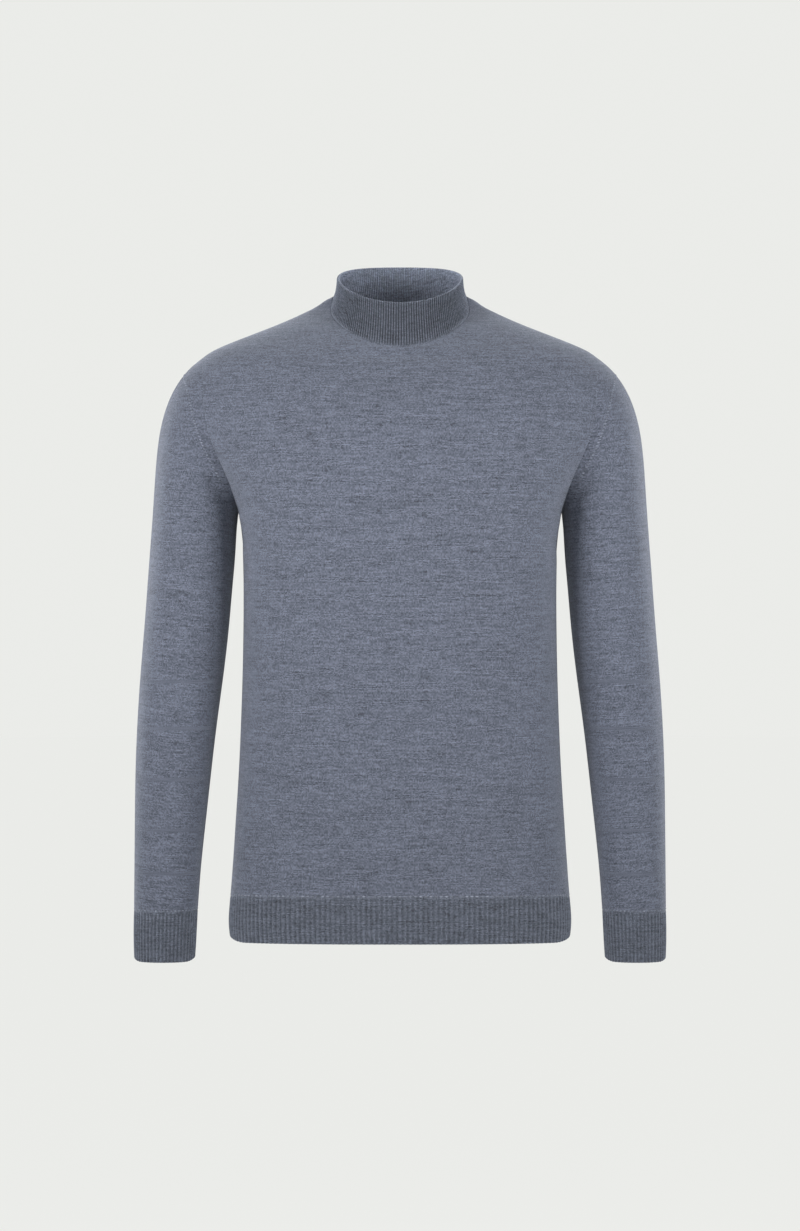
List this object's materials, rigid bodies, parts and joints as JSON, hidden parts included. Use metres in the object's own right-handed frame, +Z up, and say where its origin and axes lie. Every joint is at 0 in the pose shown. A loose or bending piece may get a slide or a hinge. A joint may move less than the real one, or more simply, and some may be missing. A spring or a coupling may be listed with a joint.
{
  "type": "turtleneck sweater",
  "caption": "Slim long-sleeved pullover in fine jersey with a low standing rib collar, rib cuffs and a rib hem, hollow, in its worn form with the sleeves hanging.",
  "frame": {"origin": "inside the neck on the middle plane, level with the shoulder line beside the collar, where the wearer's neck and shoulders hold the sweater up", "axes": "+X to the wearer's left, +Y to the back, so the front faces -Y, +Z up"},
  "size_m": [0.5566, 0.2337, 0.7328],
  "materials": {
    "jersey_knit": "fine melange jersey, matt, slightly fuzzy, blue-grey",
    "rib_knit": "1x1 rib in the same melange yarn, matt, a shade darker in its furrows"
  },
  "bodies": {
    "root": {"front": "jersey_knit", "back": "jersey_knit", "sleeve_left": "jersey_knit", "sleeve_right": "jersey_knit", "hem_rib_front": "rib_knit", "hem_rib_back": "rib_knit", "cuff_left": "rib_knit", "cuff_right": "rib_knit", "collar": "rib_knit"}
  },
  "joints": []
}
